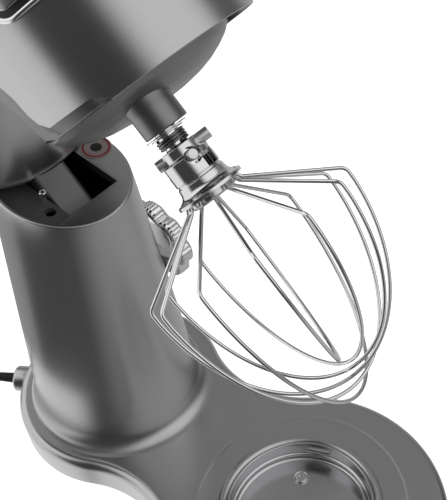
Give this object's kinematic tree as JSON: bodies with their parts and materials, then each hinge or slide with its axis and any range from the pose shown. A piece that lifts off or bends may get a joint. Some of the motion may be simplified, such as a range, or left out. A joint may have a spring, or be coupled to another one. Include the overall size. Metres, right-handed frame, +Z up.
{
  "type": "stand mixer",
  "caption": "Tilt-head stand mixer with its head raised: cast base with a bowl seat, tapered pillar, planetary drive and wire whisk.",
  "frame": {"origin": "centre of the bounding box of the mixer without its mains cord, on the surface it stands on", "axes": "+X forward from the pillar to the bowl seat, +Z up, +Y to the mixer's left"},
  "size_m": [0.524, 0.197, 0.4726],
  "materials": {
    "paint": "satin metallic grey enamel",
    "steel": "brushed",
    "chrome": "polished",
    "black_plastic": "moulded",
    "black_rubber": "matt",
    "laminated_steel": "varnished laminations and windings",
    "brass": "plain",
    "nylon": "moulded",
    "red_label": "printed film"
  },
  "bodies": {
    "frame": {"base_casting": "paint", "base_bottom_cover": "black_plastic", "rubber_foot_1": "black_rubber", "rubber_foot_2": "black_rubber", "rubber_foot_3": "black_rubber", "rubber_foot_4": "black_rubber", "rubber_foot_5": "black_rubber", "bowl_lock_plate": "steel", "seat_screw_1": "steel", "seat_screw_2": "steel", "seat_screw_3": "steel", "pillar_casting": "paint", "pillar_top_plate": "paint", "hinge_well_plate": "black_plastic", "caution_disc": "red_label", "hinge_pin": "steel", "detent_pin": "chrome", "cord_outlet": "paint", "strain_relief": "black_rubber", "mains_cord": "black_rubber", "cord_coil": "black_rubber", "plug_body": "black_plastic", "plug_blade_left": "brass", "plug_blade_right": "brass", "plug_earth_pin": "brass"},
    "head": {"head_casing": "paint", "dial_panel": "chrome", "dial_socket": "black_plastic", "neck_skirt": "paint", "hinge_arm": "paint", "head_floor": "steel", "gear_case": "paint", "center_bearing": "steel", "motor_stator": "laminated_steel", "motor_bearing_rear": "steel", "motor_bearing_front": "steel", "ring_gear": "steel"},
    "dial": {"speed_dial": "paint"},
    "lock": {"lock_knob": "chrome", "lock_cam": "steel"},
    "planetary": {"planet_carrier": "paint", "center_shaft": "steel", "main_gear": "steel"},
    "agitator": {"agitator_shaft": "chrome", "planet_gear": "steel", "thrust_washer": "steel", "hub_spring": "steel"},
    "whisk": {"whisk_hub": "steel", "whisk_end_plug": "steel", "whisk_wire_1": "chrome", "whisk_wire_2": "chrome", "whisk_wire_3": "chrome", "whisk_wire_4": "chrome", "whisk_wire_5": "chrome", "whisk_wire_6": "chrome"},
    "layshaft": {"layshaft_pinion": "steel", "worm_wheel": "nylon"},
    "rotor": {"motor_rotor": "laminated_steel", "cooling_fan": "nylon"}
  },
  "joints": [
    {"name": "head_tilt", "type": "hinge", "parent": "frame", "child": "head", "pos_m": [-0.0514, 0, 0.199], "axis": [0, 1, 0], "range_deg": [0, 47]},
    {"name": "planetary_spin", "type": "hinge", "parent": "head", "child": "planetary", "pos_m": [0.03856, 0, 0.33799], "axis": [-0.7314, 0, 0.682], "continuous": true},
    {"name": "agitator_spin", "type": "hinge", "parent": "planetary", "child": "agitator", "pos_m": [0.05302, -0.01742, 0.3535], "axis": [-0.7314, 0, 0.682], "continuous": true},
    {"name": "whisk_slide", "type": "slide", "parent": "agitator", "child": "whisk", "axis": [-0.7314, 0, 0.682], "range_m": [0, 0.004], "stiffness_N_per_m": 400, "springref_m": -0.008, "deforming": ["hub_spring"]},
    {"name": "layshaft_spin", "type": "hinge", "parent": "head", "child": "layshaft", "pos_m": [-0.05405, 0.0261, 0.35598], "axis": [-0.7314, 0, 0.682], "continuous": true},
    {"name": "rotor_spin", "type": "hinge", "parent": "head", "child": "rotor", "pos_m": [-0.10424, 0, 0.33442], "axis": [0.682, 0, 0.7314], "continuous": true},
    {"name": "speed_dial_turn", "type": "hinge", "parent": "head", "child": "dial", "pos_m": [0.01786, -0.03664, 0.4375], "axis": [0.5224, -0.6428, 0.5602], "range_deg": [0, 240]},
    {"name": "lock_knob_turn", "type": "hinge", "parent": "frame", "child": "lock", "pos_m": [-0.0604, 0.04, 0.131], "axis": [0, 1, 0], "range_deg": [-90, 0]}
  ],
  "couplings": [
    {"joint": "agitator_spin", "follows": "planetary_spin", "ratio": -4},
    {"joint": "layshaft_spin", "follows": "planetary_spin", "ratio": -2.9167},
    {"joint": "rotor_spin", "follows": "planetary_spin", "ratio": 29.167}
  ]
}
